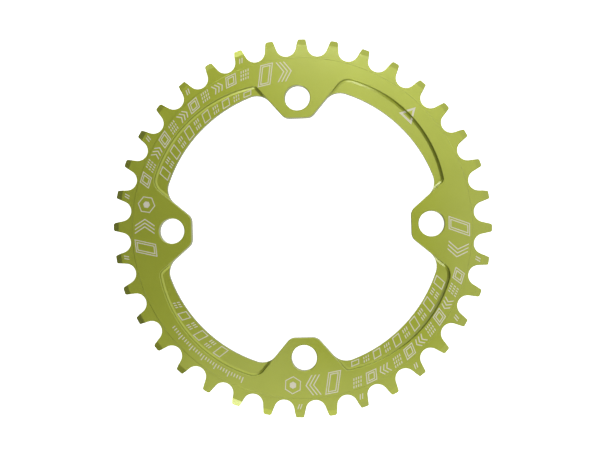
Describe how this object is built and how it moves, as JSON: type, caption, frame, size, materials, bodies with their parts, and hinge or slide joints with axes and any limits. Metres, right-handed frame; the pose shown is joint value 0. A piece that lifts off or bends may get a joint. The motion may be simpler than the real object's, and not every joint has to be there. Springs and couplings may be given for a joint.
{
  "type": "bicycle chainring",
  "caption": "Flat toothed ring that drives a bicycle chain, with narrow and wide teeth in turn, inward bolt tabs and milled ledges, machined from plate and anodised green.",
  "frame": {"origin": "centre of the ring on its flat back face", "axes": "+Z along the ring's axis, out of the front face with the ledges; +X and +Y through two neighbouring bolt holes"},
  "size_m": [0.152, 0.1516, 0.004],
  "materials": {
    "anodised_aluminium": "satin green anodised, machined"
  },
  "bodies": {
    "root": {"chainring": "anodised_aluminium"}
  },
  "joints": []
}
